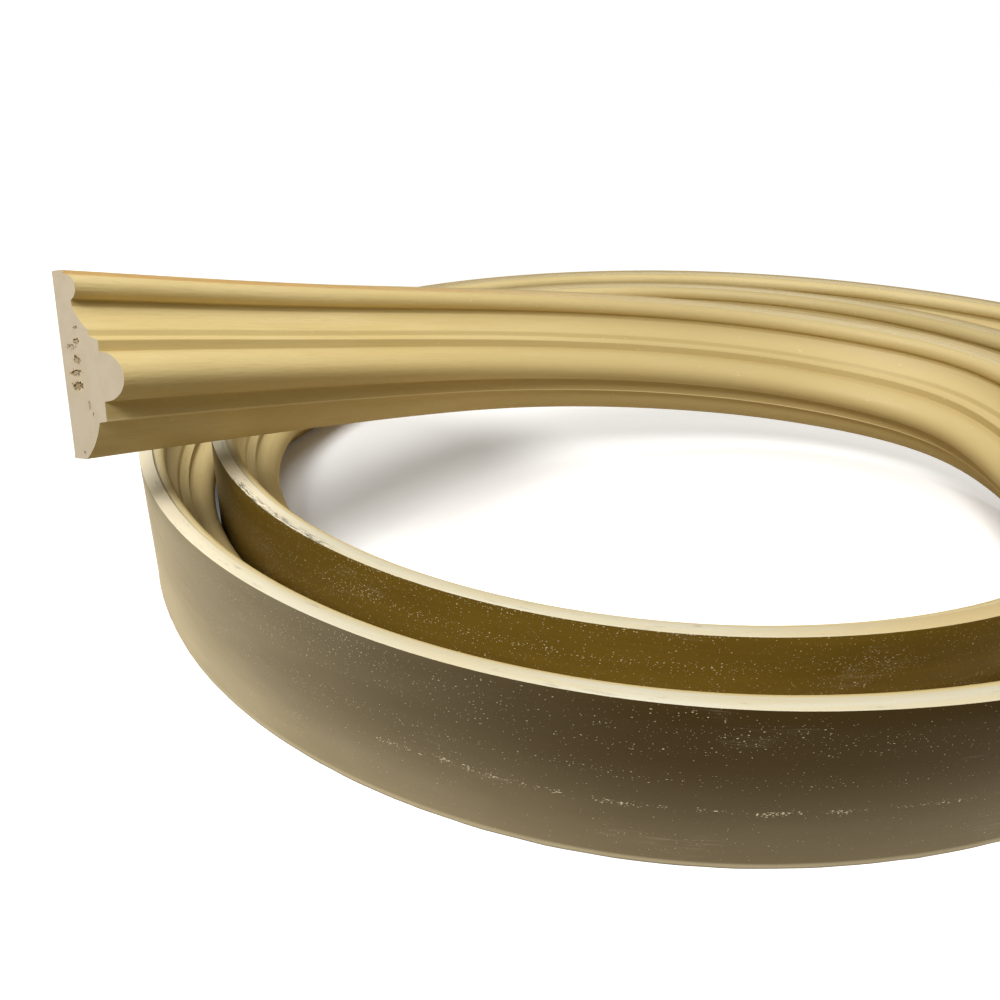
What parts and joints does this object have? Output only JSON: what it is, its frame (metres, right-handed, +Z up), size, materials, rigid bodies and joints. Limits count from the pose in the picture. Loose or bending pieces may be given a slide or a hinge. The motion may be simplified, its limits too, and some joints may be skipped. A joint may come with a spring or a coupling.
{
  "type": "dado rail",
  "caption": "Loosely coiled length of flexible dado rail, moulded face inward, flat back outward, sawn end raised.",
  "frame": {"origin": "on the floor under the middle of the coil's bounding box", "axes": "+Z up, across the width of the rail; +X along the coil's longest side, to the viewer's right; +Y away from the viewer; the raised sawn end is at -X"},
  "size_m": [0.5842, 0.5314, 0.1453],
  "materials": {
    "resin": "pale yellow cast resin, matt moulded face, semi-gloss olive brown back"
  },
  "bodies": {
    "root": {"dado_rail": "resin"}
  },
  "joints": []
}
